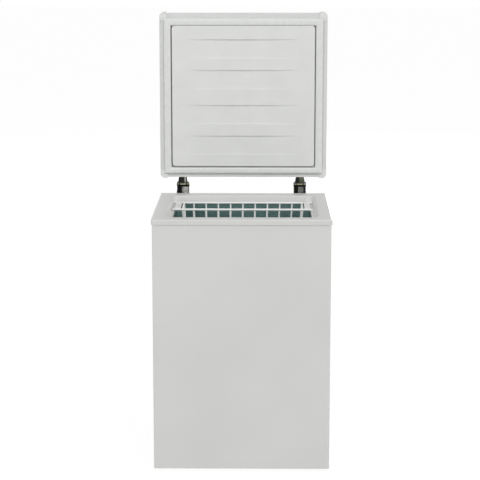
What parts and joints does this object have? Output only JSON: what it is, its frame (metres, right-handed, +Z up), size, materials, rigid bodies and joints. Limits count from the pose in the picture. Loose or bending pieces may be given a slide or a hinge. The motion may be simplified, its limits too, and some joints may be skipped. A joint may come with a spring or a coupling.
{
  "type": "chest freezer",
  "caption": "Small upright chest freezer with a top lid on rear spring hinges, a plastic mouth collar, a stepped liner and a sliding wire basket, shown with the lid open.",
  "frame": {"origin": "on the floor, in the middle of the box that holds the cabinet and the open lid", "axes": "+X to the user's right, +Y to the rear where the hinges are, +Z up"},
  "size_m": [0.566, 0.6212, 1.4224],
  "materials": {
    "white_painted_steel": "gloss",
    "galvanised_steel": "satin",
    "rigid_foam": "matt",
    "liner_sheet": "embossed",
    "white_plastic": "satin",
    "gasket_rubber": "matt",
    "copper": "dull",
    "black_steel": "satin",
    "zinc_steel": "satin",
    "coated_wire": "gloss",
    "black_rubber": "matt",
    "grey_rubber": "matt",
    "black_plastic": "satin",
    "grey_plastic": "satin",
    "lens_plastic": "clear"
  },
  "bodies": {
    "cabinet": {"cabinet_shell": "white_painted_steel", "rear_panel": "white_painted_steel", "rear_vent_cover": "white_painted_steel", "base_plate": "galvanised_steel", "machine_bulkhead": "galvanised_steel", "compressor_plate": "galvanised_steel", "cabinet_foam": "rigid_foam", "inner_liner": "liner_sheet", "top_collar": "white_plastic", "control_bezel": "white_plastic", "evaporator_coil": "copper", "condenser_coil": "copper", "filter_drier": "copper", "discharge_line": "copper", "condenser_return_line": "copper", "capillary_tube": "copper", "suction_line": "copper", "thermostat_bulb_tube": "copper", "hinge_body_left": "black_steel", "hinge_body_right": "black_steel", "compressor": "black_steel", "hinge_pin_left": "zinc_steel", "hinge_pin_right": "zinc_steel", "hinge_spring_left": "zinc_steel", "hinge_spring_right": "zinc_steel", "hinge_spacers": "zinc_steel", "hinge_spring_plates": "zinc_steel", "hinge_cabinet_screws": "zinc_steel", "vent_cover_screws": "zinc_steel", "compressor_bolts": "zinc_steel", "feet": "black_rubber", "compressor_grommets": "black_rubber", "cord_gland": "black_rubber", "wiring_lead": "black_rubber", "relay_box": "black_plastic", "thermostat": "black_plastic", "drain_tube": "grey_plastic", "indicator_lenses": "lens_plastic"},
    "lid": {"lid_skin": "white_painted_steel", "lid_foam": "rigid_foam", "lid_liner": "white_plastic", "lid_gasket": "gasket_rubber", "lid_corner_caps": "white_plastic", "hinge_arm_left": "black_steel", "hinge_arm_right": "black_steel", "hinge_lid_screws": "zinc_steel"},
    "basket": {"basket_frame": "coated_wire", "basket_front": "coated_wire", "basket_rear": "coated_wire", "basket_left": "coated_wire", "basket_right": "coated_wire", "basket_floor": "coated_wire", "basket_grip_left": "white_plastic", "basket_grip_right": "white_plastic"},
    "knob": {"thermostat_knob": "grey_plastic"},
    "plug": {"drain_plug": "grey_rubber"}
  },
  "joints": [
    {"name": "lid_hinge", "type": "hinge", "parent": "cabinet", "child": "lid", "pos_m": [0, 0.2724, 0.836], "axis": [1, 0, 0], "range_deg": [0, 90]},
    {"name": "basket_slide", "type": "slide", "parent": "cabinet", "child": "basket", "axis": [0, -1, 0], "range_m": [-0.035, 0.19]},
    {"name": "knob_turn", "type": "hinge", "parent": "cabinet", "child": "knob", "pos_m": [0.2675, 0.1104, 0.13], "axis": [1, 0, 0], "range_deg": [0, 270]},
    {"name": "drain_plug_pull", "type": "slide", "parent": "cabinet", "child": "plug", "axis": [0, 0, 1], "range_m": [0, 0.03]}
  ]
}
